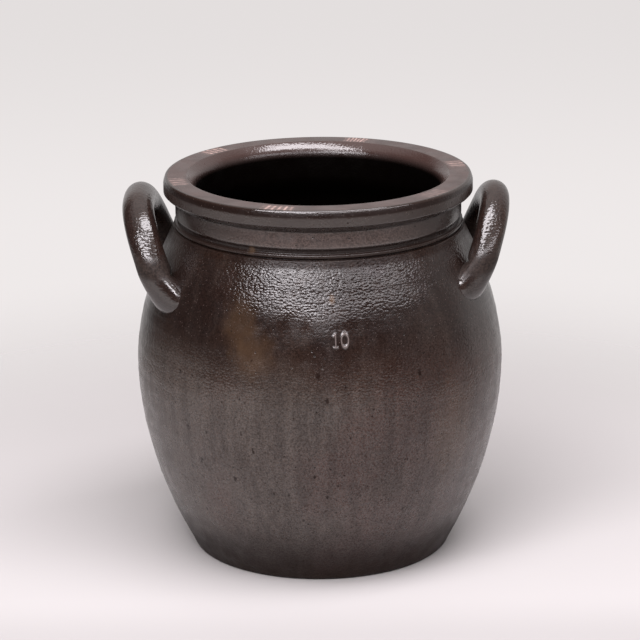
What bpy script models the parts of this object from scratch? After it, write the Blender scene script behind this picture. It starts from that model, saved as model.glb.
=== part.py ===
"""Salt-glazed stoneware storage crock with two upright loop handles.

The pot is turned in one piece: a flat base, a swelling belly, a shoulder, a short grooved neck and a thick,
flat-topped rim. Each handle is a round coil of clay, and each of its two ends stands on a pressed pad of clay
that follows the double curve of the shoulder.

Lengths are in metres, +Z is up, and the origin is the centre of the base. The front of the pot faces -Y.
"""

import math
from dataclasses import dataclass

import bmesh
import bpy
from mathutils import Vector

# Clearances
SEAT_GAP = 0.0003

# Pot, outside
HEIGHT = 0.284
FOOT_RADIUS = 0.0957
FOOT_ROUND = 0.0020
BELLY_RADIUS = 0.1366
BELLY_HEIGHT = 0.1469
LOWER_CURVE_POWER = 2.0
SHOULDER_CURVE_POWER = 1.7

# Neck and rim, outside: depths are taken down from the rim's top and insets in from its widest face
RIM_RADIUS = 0.1142
RIM_UNDER_INSET = 0.0006
RIM_TOP_INSET = 0.0015
RIM_EDGE_ROUND = 0.0014
RIM_BAND = 0.0127
RIM_CREASE = 0.0007
RIM_CREASE_WIDTH = 0.0016
COVE_DEPTH = 0.0262
NECK_DEPTH = 0.0374
NECK_INSET = 0.0084
SHOULDER_STEP = 0.0019
RIDGE_DEPTH = 0.0333
RIDGE_PROUD = 0.0008
RIDGE_WIDTH = 0.0030
GROOVE_DEPTH = 0.0290
GROOVE_CUT = 0.0006
GROOVE_WIDTH = 0.0036

# Pot, inside: the rim's width is from its widest face to the mouth
WALL = 0.0100
FLOOR = 0.0120
FLOOR_ROUND = 0.0160
RIM_WIDTH = 0.0241
LIP_ROUND = 0.0069
LIP_GROOVE_DEPTH = 0.0092
LIP_GROOVE_CUT = 0.0005
LIP_GROOVE_WIDTH = 0.0026
INNER_NECK_DEPTH = 0.0250
INNER_SHOULDER_DEPTH = 0.0480

# Handles: the stand-off is between the rim's face and the coil at the top of the loop, the rise is from the feet
# up to the coil's centre there, and the foot's share is how far up the shoulder the feet are
LEFT_STAND_OFF = 0.0062
LEFT_RISE = 0.0558
LEFT_COIL_RADIUS = 0.0120
LEFT_FOOT_SHARE = 0.603
LEFT_FOOT_ANGLE = math.radians(26.0)
LEFT_LEAN_POWER = 0.85
LEFT_ARCH_POWER = 0.70
RIGHT_STAND_OFF = 0.0050
RIGHT_RISE = 0.0516
RIGHT_COIL_RADIUS = 0.0110
RIGHT_FOOT_SHARE = 0.663
RIGHT_FOOT_ANGLE = math.radians(23.5)
RIGHT_LEAN_POWER = 0.83
RIGHT_ARCH_POWER = 1.00

# Pads under the handles' ends
PAD_RISE = 0.0205
PAD_HALF_WIDTH = 0.0152
PAD_DOWN = 0.0128
PAD_UP = 0.0150
PAD_EDGE = 0.0042
PAD_SHANK = 0.0085

# Counts of facets and stations
POT_SEGMENTS = 72
LOWER_STATIONS = 8
SHOULDER_STATIONS = 8
COVE_STATIONS = 5
ROUND_STATIONS = 3
LIP_STATIONS = 5
EASE_STATIONS = 4
COIL_STATIONS = 34
COIL_BEVEL_RESOLUTION = 6
PATH_SAMPLES = 240
PAD_SIDES = 20
PAD_RINGS = 6
PAD_UNDER_SHARES = (0.75, 0.4)
SLOPE_STEP_SHARE = 0.004

# Finish
SHARP_ANGLE = math.radians(42.0)
POT_COLOUR = (0.075, 0.055, 0.052)
POT_ROUGHNESS = 0.34
HANDLE_COLOUR = (0.095, 0.078, 0.073)
HANDLE_ROUGHNESS = 0.38
PAD_COLOUR = (0.105, 0.085, 0.078)
PAD_ROUGHNESS = 0.42


@dataclass(frozen=True)
class Handle:
    """Sizes of one loop handle; side is -1 at -X and +1 at +X."""

    name: str
    side: int
    stand_off: float
    rise: float
    coil_radius: float
    foot_share: float
    foot_angle: float
    lean_power: float
    arch_power: float


HANDLES = (
    Handle(
        "handle_left", -1, LEFT_STAND_OFF, LEFT_RISE, LEFT_COIL_RADIUS,
        LEFT_FOOT_SHARE, LEFT_FOOT_ANGLE, LEFT_LEAN_POWER, LEFT_ARCH_POWER,
    ),
    Handle(
        "handle_right", 1, RIGHT_STAND_OFF, RIGHT_RISE, RIGHT_COIL_RADIUS,
        RIGHT_FOOT_SHARE, RIGHT_FOOT_ANGLE, RIGHT_LEAN_POWER, RIGHT_ARCH_POWER,
    ),
)


def clear_scene():
    """Remove every object, so that the script starts from an empty scene."""
    for obj in list(bpy.data.objects):
        bpy.data.objects.remove(obj, do_unlink=True)


def make_material(name, colour, roughness):
    """Make a Principled material with one colour and roughness."""
    material = bpy.data.materials.new(name)
    material.use_nodes = True
    shader = material.node_tree.nodes["Principled BSDF"]
    shader.inputs["Base Color"].default_value = (*colour, 1.0)
    shader.inputs["Roughness"].default_value = roughness
    shader.inputs["Metallic"].default_value = 0.0
    material.diffuse_color = (*colour, 1.0)
    return material


def link_object(name, data, material):
    """Put an object with this data and material into the scene."""
    obj = bpy.data.objects.new(name, data)
    obj.data.materials.append(material)
    bpy.context.scene.collection.objects.link(obj)
    return obj


def mesh_from(name, bm):
    """Turn a bmesh into a smooth-shaded mesh whose faces point outwards."""
    bmesh.ops.recalc_face_normals(bm, faces=bm.faces)
    mesh = bpy.data.meshes.new(name)
    bm.to_mesh(mesh)
    bm.free()
    mesh.shade_smooth()
    mesh.set_sharp_from_angle(angle=SHARP_ANGLE)
    return mesh


def shares(count):
    """Give count + 1 even shares from 0 to 1."""
    return [i / count for i in range(count + 1)]


def heights(low, high, count):
    """Heights in count even steps from low to high."""
    return [low + (high - low) * share for share in shares(count)]


def shoulder_height():
    """Height at which the shoulder meets the neck."""
    return HEIGHT - NECK_DEPTH


def neck_radius():
    """Outer radius of the neck."""
    return RIM_RADIUS - NECK_INSET


def mouth_radius():
    """Radius of the opening inside the rim."""
    return RIM_RADIUS - RIM_WIDTH


def wall_radius(z):
    """Outer radius of the pot between its foot and the top of the shoulder."""
    if z < BELLY_HEIGHT:
        swell = BELLY_RADIUS - FOOT_RADIUS
        return BELLY_RADIUS - swell * (1.0 - z / BELLY_HEIGHT) ** LOWER_CURVE_POWER
    swell = BELLY_RADIUS - neck_radius() - SHOULDER_STEP
    rise = (z - BELLY_HEIGHT) / (shoulder_height() - BELLY_HEIGHT)
    return BELLY_RADIUS - swell * rise**SHOULDER_CURVE_POWER


def wall_normal(z):
    """Outward normal of the pot's wall at height z, as (radial, vertical)."""
    step = HEIGHT * SLOPE_STEP_SHARE
    slope = (wall_radius(z + step) - wall_radius(z - step)) / (step + step)
    length = math.hypot(1.0, slope)
    return 1.0 / length, -slope / length


def inner_wall_point(z):
    """Point of the inside of the wall, square across the wall from height z outside."""
    radial, vertical = wall_normal(z)
    return wall_radius(z) - WALL * radial, z - WALL * vertical


def ease(start, end, share):
    """Smooth step from start to end, level at both ends."""
    return start + (end - start) * (1.0 - math.cos(math.pi * share)) / 2.0


def rounded_corner(start, corner, end, count):
    """Points of a rounded corner from start to end, with both ends left out."""
    points = []
    for t in shares(count)[1:-1]:
        a, b, c = (1.0 - t) ** 2, 2.0 * t * (1.0 - t), t**2
        points.append(tuple(a * p + b * q + c * r for p, q, r in zip(start, corner, end)))
    return points


def outer_profile():
    """Outside of the pot from the edge of its base up to the edge of the rim's flat top."""
    foot_start = (wall_radius(0.0) - FOOT_ROUND, 0.0)
    foot_end = (wall_radius(FOOT_ROUND), FOOT_ROUND)
    points = [foot_start]
    points += rounded_corner(foot_start, (wall_radius(0.0), 0.0), foot_end, ROUND_STATIONS)
    stations = heights(FOOT_ROUND, BELLY_HEIGHT, LOWER_STATIONS)
    stations += heights(BELLY_HEIGHT, shoulder_height(), SHOULDER_STATIONS)[1:]
    points += [(wall_radius(z), z) for z in stations]
    points += neck_profile()
    points += rim_profile()
    return points


def neck_profile():
    """Ridge, groove and cove of the neck, bottom to top."""
    neck_r = neck_radius()
    ridge_z = HEIGHT - RIDGE_DEPTH
    groove_z = HEIGHT - GROOVE_DEPTH
    half_ridge = RIDGE_WIDTH / 2.0
    half_groove = GROOVE_WIDTH / 2.0
    points = [
        (neck_r, ridge_z - half_ridge),
        (neck_r + RIDGE_PROUD, ridge_z - half_ridge / 2.0),
        (neck_r + RIDGE_PROUD, ridge_z + half_ridge / 2.0),
        (neck_r, groove_z - half_groove),
        (neck_r - GROOVE_CUT, groove_z - half_groove / 2.0),
        (neck_r - GROOVE_CUT, groove_z + half_groove / 2.0),
    ]
    cove_low = HEIGHT - COVE_DEPTH
    cove_high = HEIGHT - RIM_BAND - RIM_CREASE_WIDTH
    for share in shares(COVE_STATIONS):
        z = cove_low + (cove_high - cove_low) * share
        points.append((ease(neck_r, RIM_RADIUS - RIM_UNDER_INSET, share), z))
    return points


def rim_profile():
    """Crease, bulged face and rounded top edge of the rim, bottom to top."""
    band_z = HEIGHT - RIM_BAND
    top_r = RIM_RADIUS - RIM_TOP_INSET
    face_top = (top_r + RIM_EDGE_ROUND / 2.0, HEIGHT - RIM_EDGE_ROUND)
    top_edge = (top_r - RIM_EDGE_ROUND, HEIGHT)
    points = [
        (RIM_RADIUS - RIM_UNDER_INSET - RIM_CREASE, band_z - RIM_CREASE_WIDTH / 2.0),
        (RIM_RADIUS - RIM_CREASE / 2.0, band_z),
        (RIM_RADIUS, band_z + RIM_BAND / 4.0),
        (RIM_RADIUS - RIM_CREASE / 2.0, band_z + RIM_BAND / 2.0),
        face_top,
    ]
    points += rounded_corner(face_top, (top_r, HEIGHT), top_edge, ROUND_STATIONS)
    points.append(top_edge)
    return points


def lip_profile():
    """Rolled inner edge of the rim and the fine groove under it, top to bottom."""
    mouth_r = mouth_radius()
    flat_edge = (mouth_r + LIP_ROUND, HEIGHT)
    roll_end = (mouth_r, HEIGHT - LIP_ROUND)
    groove_z = HEIGHT - LIP_GROOVE_DEPTH
    half_groove = LIP_GROOVE_WIDTH / 2.0
    points = [flat_edge]
    points += rounded_corner(flat_edge, (mouth_r, HEIGHT), roll_end, LIP_STATIONS)
    points += [
        roll_end,
        (mouth_r + LIP_GROOVE_CUT, groove_z + half_groove / 2.0),
        (mouth_r + LIP_GROOVE_CUT, groove_z - half_groove / 2.0),
        (mouth_r, groove_z - half_groove),
    ]
    return points


def inner_profile():
    """Inside of the pot from the rim's flat top down to the edge of the floor."""
    points = lip_profile()
    neck_z = HEIGHT - INNER_NECK_DEPTH
    shoulder_r, shoulder_z = inner_wall_point(HEIGHT - INNER_SHOULDER_DEPTH)
    for share in shares(EASE_STATIONS):
        z = neck_z + (shoulder_z - neck_z) * share
        points.append((ease(mouth_radius(), shoulder_r, share), z))
    stations = heights(HEIGHT - INNER_SHOULDER_DEPTH, BELLY_HEIGHT, SHOULDER_STATIONS - 1)[1:]
    stations += heights(BELLY_HEIGHT, FLOOR_ROUND, LOWER_STATIONS - 1)[1:]
    points += [inner_wall_point(z) for z in stations]
    wall_r, wall_z = points[-1]
    radial, vertical = wall_normal(FLOOR_ROUND)
    corner_r = wall_r + (wall_z - FLOOR) * vertical / radial
    floor_edge = (corner_r - FLOOR_ROUND, FLOOR)
    points += rounded_corner(points[-1], (corner_r, FLOOR), floor_edge, LIP_STATIONS)
    points.append(floor_edge)
    return points


def build_pot(material):
    """Turn the pot's profile about +Z and close it with a flat base and a flat floor."""
    bm = bmesh.new()
    profile = outer_profile() + inner_profile()
    verts = [bm.verts.new((r, 0.0, z)) for r, z in profile]
    edges = [bm.edges.new(pair) for pair in zip(verts, verts[1:])]
    bmesh.ops.spin(
        bm, geom=verts + edges, cent=(0.0, 0.0, 0.0), axis=(0.0, 0.0, 1.0),
        angle=math.tau, steps=POT_SEGMENTS, use_merge=True,
    )
    rims = [edge for edge in bm.edges if edge.is_boundary]
    bmesh.ops.holes_fill(bm, edges=rims, sides=0)
    return link_object("crock_body", mesh_from("crock_body", bm), material)


def foot_height(handle):
    """Height of the middle of a handle's feet on the shoulder."""
    return BELLY_HEIGHT + (shoulder_height() - BELLY_HEIGHT) * handle.foot_share


def handle_point(handle, turn):
    """Point on a handle's centreline; turn runs from 0 at its front foot to 1 at its rear foot."""
    angle = math.pi * turn
    rise = math.sin(angle)
    foot_z = foot_height(handle)
    foot_x = wall_radius(foot_z) * math.cos(handle.foot_angle)
    foot_y = wall_radius(foot_z) * math.sin(handle.foot_angle)
    reach = RIM_RADIUS + handle.stand_off + handle.coil_radius
    along = math.cos(angle)
    x = foot_x + (reach - foot_x) * rise**handle.lean_power
    y = -math.copysign(foot_y * abs(along) ** handle.arch_power, along)
    return Vector((handle.side * x, y, foot_z + handle.rise * rise))


def handle_centreline(handle):
    """Evenly spaced points of the coil, from the top of its front pad to the top of its rear pad."""
    samples = [handle_point(handle, turn) for turn in shares(PATH_SAMPLES)]
    lengths = [0.0]
    for a, b in zip(samples, samples[1:]):
        lengths.append(lengths[-1] + (b - a).length)
    points = []
    for share in shares(COIL_STATIONS):
        target = PAD_RISE + (lengths[-1] - PAD_RISE - PAD_RISE) * share
        i = next(k for k, reached in enumerate(lengths) if reached >= target)
        part = (target - lengths[i - 1]) / (lengths[i] - lengths[i - 1])
        points.append(samples[i - 1].lerp(samples[i], part))
    return points


def build_handle(handle, material):
    """Make a handle as a round coil swept along its centreline, with flat cut ends."""
    curve = bpy.data.curves.new(handle.name, "CURVE")
    curve.dimensions = "3D"
    curve.bevel_depth = handle.coil_radius
    curve.bevel_resolution = COIL_BEVEL_RESOLUTION
    curve.use_fill_caps = True
    points = handle_centreline(handle)
    spline = curve.splines.new("POLY")
    spline.points.add(len(points) - 1)
    for point, place in zip(spline.points, points):
        point.co = (*place, 1.0)
    spline.use_smooth = True
    return link_object(handle.name, curve, material)


def on_shoulder(handle, end, across, up, lift):
    """Point over the shoulder, in lengths measured along its surface from a foot's centre.

    across runs round the pot, away from the loop, and up runs up the shoulder. lift is the height over the
    surface. end is -1 at the front foot and +1 at the rear foot.
    """
    foot_z = foot_height(handle)
    _, tilt = wall_normal(foot_z)
    z = foot_z + up * math.sqrt(1.0 - tilt**2)
    angle = handle.foot_angle + across / wall_radius(foot_z)
    radial, vertical = wall_normal(z)
    r = wall_radius(z) + lift * radial
    return Vector((handle.side * r * math.cos(angle), end * r * math.sin(angle), z + lift * vertical))


def pad_rings(handle, end):
    """Rings of a pad from its flat top, down its sides and in under it to its middle."""
    line = handle_centreline(handle)
    top, inward = (line[0], line[1]) if end < 0 else (line[-1], line[-2])
    axis = (inward - top).normalized()
    top = top - axis * SEAT_GAP
    centre = on_shoulder(handle, end, 0.0, 0.0, SEAT_GAP)
    outline = []
    seat = []
    for k in range(PAD_SIDES):
        angle = math.tau * k / PAD_SIDES
        up = math.sin(angle) * (PAD_UP if math.sin(angle) > 0.0 else PAD_DOWN)
        across = math.cos(angle) * PAD_HALF_WIDTH
        outline.append((across, up))
        foot = on_shoulder(handle, end, across, up, SEAT_GAP)
        spoke = foot - centre
        spoke = (spoke - axis * spoke.dot(axis)).normalized()
        seat.append(top + spoke * handle.coil_radius)
    rings = []
    for t in shares(PAD_RINGS):
        ring = []
        for (across, up), rim in zip(outline, seat):
            low = on_shoulder(handle, end, across, up, SEAT_GAP)
            edge = on_shoulder(handle, end, across, up, SEAT_GAP + PAD_EDGE)
            shank = rim - axis * PAD_SHANK
            a, b = (1.0 - t) ** 3, 3.0 * t * (1.0 - t) ** 2
            c, d = 3.0 * t**2 * (1.0 - t), t**3
            ring.append(rim * a + shank * b + edge * c + low * d)
        rings.append(ring)
    for share in PAD_UNDER_SHARES:
        rings.append([on_shoulder(handle, end, a * share, u * share, SEAT_GAP) for a, u in outline])
    return rings, centre


def build_pad(handle, end, label, material):
    """Loft a pad through its rings and close it with a flat top and a pointed middle below."""
    bm = bmesh.new()
    rings, centre = pad_rings(handle, end)
    loops = [[bm.verts.new(point) for point in ring] for ring in rings]
    bm.faces.new(loops[0])
    for upper, lower in zip(loops, loops[1:]):
        for k in range(PAD_SIDES):
            after = (k + 1) % PAD_SIDES
            bm.faces.new((upper[k], lower[k], lower[after], upper[after]))
    middle = bm.verts.new(centre)
    for k in range(PAD_SIDES):
        bm.faces.new((loops[-1][k], middle, loops[-1][(k + 1) % PAD_SIDES]))
    name = f"{handle.name}_{label}_pad"
    return link_object(name, mesh_from(name, bm), material)


def main():
    """Build the pot, the two handles and their four pads."""
    clear_scene()
    build_pot(make_material("pot_glaze", POT_COLOUR, POT_ROUGHNESS))
    handle_glaze = make_material("handle_glaze", HANDLE_COLOUR, HANDLE_ROUGHNESS)
    pad_glaze = make_material("pad_glaze", PAD_COLOUR, PAD_ROUGHNESS)
    for handle in HANDLES:
        build_handle(handle, handle_glaze)
        build_pad(handle, -1, "front", pad_glaze)
        build_pad(handle, 1, "rear", pad_glaze)


main()
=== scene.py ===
"""Looks of a salt-glazed stoneware crock with two upright loop handles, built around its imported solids.

Lengths are in metres, +Z is up, the origin is the centre of the base and the front of the pot faces -Y.
Azimuths run from the front towards +X.
"""

import logging
import math
from dataclasses import dataclass
from enum import Enum

import bmesh
import bpy
import numpy as np
from mathutils import Matrix, Vector


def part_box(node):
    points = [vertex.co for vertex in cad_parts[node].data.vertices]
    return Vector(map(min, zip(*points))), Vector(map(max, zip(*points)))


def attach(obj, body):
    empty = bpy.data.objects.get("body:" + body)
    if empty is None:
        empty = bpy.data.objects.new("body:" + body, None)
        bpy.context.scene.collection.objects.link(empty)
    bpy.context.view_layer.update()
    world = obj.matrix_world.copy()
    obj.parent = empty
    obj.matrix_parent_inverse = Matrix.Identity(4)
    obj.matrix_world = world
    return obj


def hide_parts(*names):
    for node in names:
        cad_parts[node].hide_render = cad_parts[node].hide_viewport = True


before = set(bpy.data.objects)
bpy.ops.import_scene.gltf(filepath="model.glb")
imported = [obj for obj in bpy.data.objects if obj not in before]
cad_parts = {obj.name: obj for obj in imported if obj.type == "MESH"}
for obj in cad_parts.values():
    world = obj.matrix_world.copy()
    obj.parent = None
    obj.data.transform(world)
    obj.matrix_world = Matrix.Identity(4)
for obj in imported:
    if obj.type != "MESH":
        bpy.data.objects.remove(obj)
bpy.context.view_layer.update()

LOG = logging.getLogger("crock")

Socket = bpy.types.NodeSocket
Material = bpy.types.Material
Object = bpy.types.Object
Colour = tuple[float, float, float]
Pair = tuple[float, float]


class Side(Enum):
    """The side of the pot that a handle stands on."""

    LEFT = -1
    RIGHT = 1


class End(Enum):
    """The end of a handle, seen from the front of the pot."""

    FRONT = -1
    REAR = 1


class Zone(Enum):
    """A zone of the pot's skin, told apart by its place on the profile."""

    UNDERSIDE = 0
    OUTSIDE = 1
    RIM_TOP = 2
    INSIDE = 3


# Shading tools


@dataclass(frozen=True)
class Step:
    """A smooth step of a level as a value runs from low to high; low may be the larger one."""

    low: float
    high: float
    start: float = 0.0
    end: float = 1.0


@dataclass(frozen=True)
class Band:
    """A stretch of a value where a mask is 1, with soft edges."""

    middle: float
    half_width: float
    soft: float


@dataclass(frozen=True)
class Noise:
    """Noise with lumps of a size, a number of finer layers and their strength."""

    size: float
    detail: float = 2.0
    rough: float = 0.5


@dataclass(frozen=True)
class Mottle:
    """A level that noise sways."""

    noise: Noise
    step: Step


@dataclass(frozen=True)
class Specks:
    """Round specks: size of the cells that may hold one, radius of one, and share of the cells with one."""

    spacing: float
    radius: float
    share: float


class Value:
    """A number, vector or colour that a node tree works out, open to further steps."""

    def __init__(self, bench: "NodeBench", socket: Socket) -> None:
        """Take up an output of the bench's tree."""
        self.bench = bench
        self.socket = socket

    def do(self, operation: str, *others: "float | Value") -> "Value":
        """Work out one step of arithmetic that starts with this number."""
        return self.bench.math(operation, self, *others)

    def __add__(self, other: "float | Value") -> "Value":
        """Add a number."""
        return self.do("ADD", other)

    def __sub__(self, other: "float | Value") -> "Value":
        """Take a number away."""
        return self.do("SUBTRACT", other)

    def __mul__(self, other: "float | Value") -> "Value":
        """Multiply by a number."""
        return self.do("MULTIPLY", other)

    def __truediv__(self, other: "float | Value") -> "Value":
        """Divide by a number."""
        return self.do("DIVIDE", other)

    def __abs__(self) -> "Value":
        """Drop the sign."""
        return self.do("ABSOLUTE")

    def larger(self, other: "float | Value") -> "Value":
        """Take the larger of two numbers."""
        return self.do("MAXIMUM", other)

    def choose(self, first: "float | Value", second: "float | Value") -> "Value":
        """Mix two numbers: the first where this share is 0, the second where it is 1."""
        return self.bench.math("SUBTRACT", 1.0, self) * first + self * second

    def step(self, step: Step) -> "Value":
        """Turn the number into a level that steps smoothly.

        Args:
            step: Limits of the number and levels at both.

        Returns:
            The level.
        """
        limits = (step.low, step.high, step.start, step.end)
        if step.low > step.high:
            limits = (step.high, step.low, step.end, step.start)
        return self.bench.out("MapRange", self, *limits, interpolation_type="SMOOTHSTEP")

    def ramp(self, low: float, high: float, start: float = 0.0, end: float = 1.0) -> "Value":
        """Step smoothly from start at low to end at high."""
        return self.step(Step(low, high, start, end))

    def dim(self, share: float) -> "Value":
        """Level that falls from 1 outside this mask to a share inside it."""
        return self.ramp(0.0, 1.0, 1.0, share)

    def band(self, band: Band) -> "Value":
        """Mask a band of the number."""
        soft = band.soft / 2.0
        return abs(self - band.middle).ramp(band.half_width - soft, band.half_width + soft, 1.0, 0.0)

    def blend(self, first: "Colour | Value", second: "Colour | Value") -> "Value":
        """Mix two colours by this share.

        Args:
            first: Colour at share 0.
            second: Colour at share 1.

        Returns:
            The mixed colour.
        """
        mix = self.bench.node("Mix", self, data_type="RGBA", blend_type="MIX")
        targets = [target for target in mix.inputs if target.type == "RGBA"]
        for target, colour in zip(targets, (first, second)):
            self.bench.feed(target, colour)
        return Value(self.bench, next(output for output in mix.outputs if output.type == "RGBA"))

    def shade(self, colour: "Colour | Value") -> "Value":
        """Multiply a colour by this level."""
        return self.bench.filled("VectorMath", "Vector", {"Vector": colour, "Scale": self}, operation="SCALE")

    def scaled(self, level: float) -> "Value":
        """Multiply this vector by a number."""
        return self.bench.filled("VectorMath", "Vector", {"Vector": self, "Scale": level}, operation="SCALE")

    def shifted(self, shift: "Value") -> "Value":
        """Add a shift to this vector."""
        return self.bench.out("VectorMath", self, shift, operation="ADD")

    def stretched(self, up: float) -> "Value":
        """Scale the third number of this vector."""
        return self.bench.filled("Mapping", "Vector", {"Vector": self, "Scale": (1.0, 1.0, up)})

    def parts(self) -> "list[Value]":
        """Split this vector into its three numbers."""
        return [Value(self.bench, output) for output in self.bench.node("SeparateXYZ", self).outputs]

    def noise(self, noise: Noise, output: str = "Fac") -> "Value":
        """Noise at this place: a number around 0.5, or three of them as the output Color."""
        inputs = {"Scale": 1.0 / noise.size, "Detail": noise.detail, "Roughness": noise.rough}
        return self.bench.filled("TexNoise", output, {"Vector": self, **inputs})

    def mottle(self, mottle: Mottle) -> "Value":
        """Level that noise sways at this place."""
        return self.noise(mottle.noise).step(mottle.step)

    def cells(self, size: float) -> "Value":
        """Distance from the middle of the nearest rounded cell, in sizes of a cell."""
        inputs = {"Randomness": 0.85, "Vector": self, "Scale": 1.0 / size, "Smoothness": 0.15}
        return self.bench.filled("TexVoronoi", "Distance", inputs, feature="SMOOTH_F1")

    def specks(self, specks: Specks) -> "Value":
        """Scatter round specks.

        Args:
            specks: Their spacing, radius and share.

        Returns:
            1 inside a speck and 0 outside.
        """
        inputs = {"Vector": self, "Scale": 1.0 / specks.spacing}
        colour = self.bench.filled("TexVoronoi", "Color", inputs, feature="F1")
        chosen = self.bench.out("SeparateColor", colour).do("LESS_THAN", specks.share)
        radius = specks.radius / specks.spacing
        away = Value(self.bench, colour.socket.node.outputs["Distance"])
        return chosen * away.ramp(0.4 * radius, 1.2 * radius, 1.0, 0.0)


class NodeBench:
    """Adds nodes to one node tree and joins them."""

    def __init__(self, tree: bpy.types.NodeTree) -> None:
        """Start on a tree, emptied first."""
        self.tree = tree
        self.tree.nodes.clear()

    def node(self, kind: str, *feeds: object, **settings: object) -> bpy.types.Node:
        """Add a node.

        Args:
            kind: Blender's type name of the node, without ShaderNode in front.
            *feeds: Values for its first inputs.
            **settings: Properties to set on it.

        Returns:
            The new node.
        """
        made = self.tree.nodes.new("ShaderNode" + kind)
        for name, value in settings.items():
            setattr(made, name, value)
        for target, value in zip(made.inputs, feeds):
            self.feed(target, value)
        return made

    def out(self, kind: str, *feeds: object, **settings: object) -> Value:
        """Add a node and hand out its first output."""
        return Value(self, self.node(kind, *feeds, **settings).outputs[0])

    def math(self, operation: str, *terms: float | Value) -> Value:
        """Work out one step of arithmetic."""
        return self.out("Math", *terms, operation=operation)

    def feed(self, target: Socket, value: object) -> None:
        """Join a value of the tree to an input, or set the input.

        Args:
            target: The input.
            value: A value of the tree, a number, a vector or a colour.
        """
        if isinstance(value, Value):
            self.tree.links.new(value.socket, target)
        elif target.type == "RGBA":
            target.default_value = (*value, 1.0)
        else:
            target.default_value = value

    def filled(self, kind: str, output: str, inputs: dict[str, object], **settings: object) -> Value:
        """Add a node, feed its inputs by their names and hand out an output.

        Args:
            kind: Blender's type name of the node, without ShaderNode in front.
            output: Name of the output.
            inputs: Value for each named input.
            **settings: Properties to set on the node.

        Returns:
            The output.
        """
        made = self.node(kind, **settings)
        for name, value in inputs.items():
            self.feed(made.inputs[name], value)
        return Value(self, made.outputs[output])

    def point(self) -> Value:
        """Place on the object."""
        return self.filled("TexCoord", "Object", {})

    def layer(self, name: str) -> Value:
        """Number that a mesh carries in a layer of its points."""
        return self.filled("Attribute", "Fac", {}, attribute_name=name)


def new_material(name: str) -> tuple[Material, NodeBench]:
    """Make an empty material.

    Args:
        name: Name of the material.

    Returns:
        The material and a bench on its node tree.
    """
    made = bpy.data.materials.new(name)
    made.use_nodes = True
    return made, NodeBench(made.node_tree)


@dataclass(frozen=True)
class PotPlaces:
    """Values that tell a material where it is on the pot; the azimuth is in radians."""

    point: Value
    height: Value
    radius: Value
    azimuth: Value

    @classmethod
    def on(cls, bench: NodeBench) -> "PotPlaces":
        """Add the nodes that give the place on the pot.

        Args:
            bench: The node tree to add them to.

        Returns:
            The values.
        """
        point = bench.point()
        x, y, z = point.parts()
        return cls(point, z, (x * x + y * y).do("SQRT"), x.do("ARCTAN2", y * -1.0))


@dataclass(frozen=True)
class Patch:
    """A soft-edged patch of the pot's outside, at an azimuth in degrees."""

    azimuth: float
    height: float
    half_width: float
    half_height: float
    ragged: float = 0.012
    share: float = 1.0
    reach: float = 0.128

    def mask(self, places: PotPlaces) -> Value:
        """Mask the patch.

        Args:
            places: Where the material is on the pot.

        Returns:
            The mask, 1 in the middle of the patch.
        """
        along = (places.azimuth - math.radians(self.azimuth)) * self.reach / self.half_width
        up = (places.height - self.height) / self.half_height
        ragged = places.point.noise(Noise(self.ragged, 3.0)) - 0.5
        return ((along * along + up * up).do("SQRT") + ragged * 0.9).ramp(0.25, 1.15, 1.0, 0.0)


# Finishes


@dataclass(frozen=True)
class SaltGlaze:
    """Dark salt glaze, whose skin is pitted like an orange's."""

    name: str
    body: Colour = (0.0135, 0.0070, 0.0055)
    warm: Colour = (0.028, 0.0145, 0.0095)
    pale: Colour = (0.050, 0.036, 0.030)
    worn: Colour = (0.028, 0.020, 0.017)
    index: float = 1.7
    roughness: float = 0.19
    peel_size: float = 0.0021
    peel_depth: float = 0.00030
    grain_size: float = 0.0010
    grain_depth: float = 0.00013
    clouds: Mottle = Mottle(Noise(0.045, 3.0, 0.55), Step(0.42, 0.72, 0.0, 0.45))
    stains: Mottle = Mottle(Noise(0.011, 3.0, 0.6), Step(0.48, 0.75, 0.0, 0.30))
    stain_stretch: float = 0.16
    grain: Mottle = Mottle(Noise(0.0013, 2.0, 0.7), Step(0.3, 0.7, 0.6, 1.45))

    def peel(self, point: Value) -> Value:
        """Build the height of the orange-peel skin: domes, softer lumps and a fine grain.

        Args:
            point: Place on the object.

        Returns:
            Height in metres.
        """
        wander = point.noise(Noise(self.peel_size * 4.0, 1.0)) - 0.5
        bent = point.shifted(wander * (self.peel_size * 0.6)).stretched(1.25)
        away = bent.cells(self.peel_size)
        lumps = bent.noise(Noise(self.peel_size * 1.2, 1.5)) * (self.peel_depth * 0.45)
        fine = point.noise(Noise(self.grain_size, 2.0, 0.65)) * self.grain_depth
        return away * away * -self.peel_depth + lumps + fine

    def tone(self, point: Value) -> Value:
        """Build the mottled colour of the glaze.

        Args:
            point: Place on the object.

        Returns:
            The colour.
        """
        colour = point.mottle(self.clouds).blend(self.body, self.warm)
        colour = point.stretched(self.stain_stretch).mottle(self.stains).blend(colour, self.pale)
        return point.mottle(self.grain).shade(colour)

    def finish(self, colour: Value, roughness: Value, height: Value, gloss: Value) -> None:
        """Set up the glaze's shader and join it to the output.

        Args:
            colour: Colour of the glaze.
            roughness: Roughness of its surface.
            height: Height of its relief, in metres.
            gloss: How much of the bare glaze's gloss is left where it is worn or dry, from 0 to 1.
        """
        bench = colour.bench
        inputs = {
            "IOR": self.index,
            "Base Color": colour,
            "Roughness": roughness,
            "Specular Tint": gloss.shade((1.0, 1.0, 1.0)),
            "Normal": bench.filled("Bump", "Normal", {"Strength": 1.0, "Distance": 1.0, "Height": height}),
        }
        bench.node("OutputMaterial", bench.filled("BsdfPrincipled", "BSDF", inputs))


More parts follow.
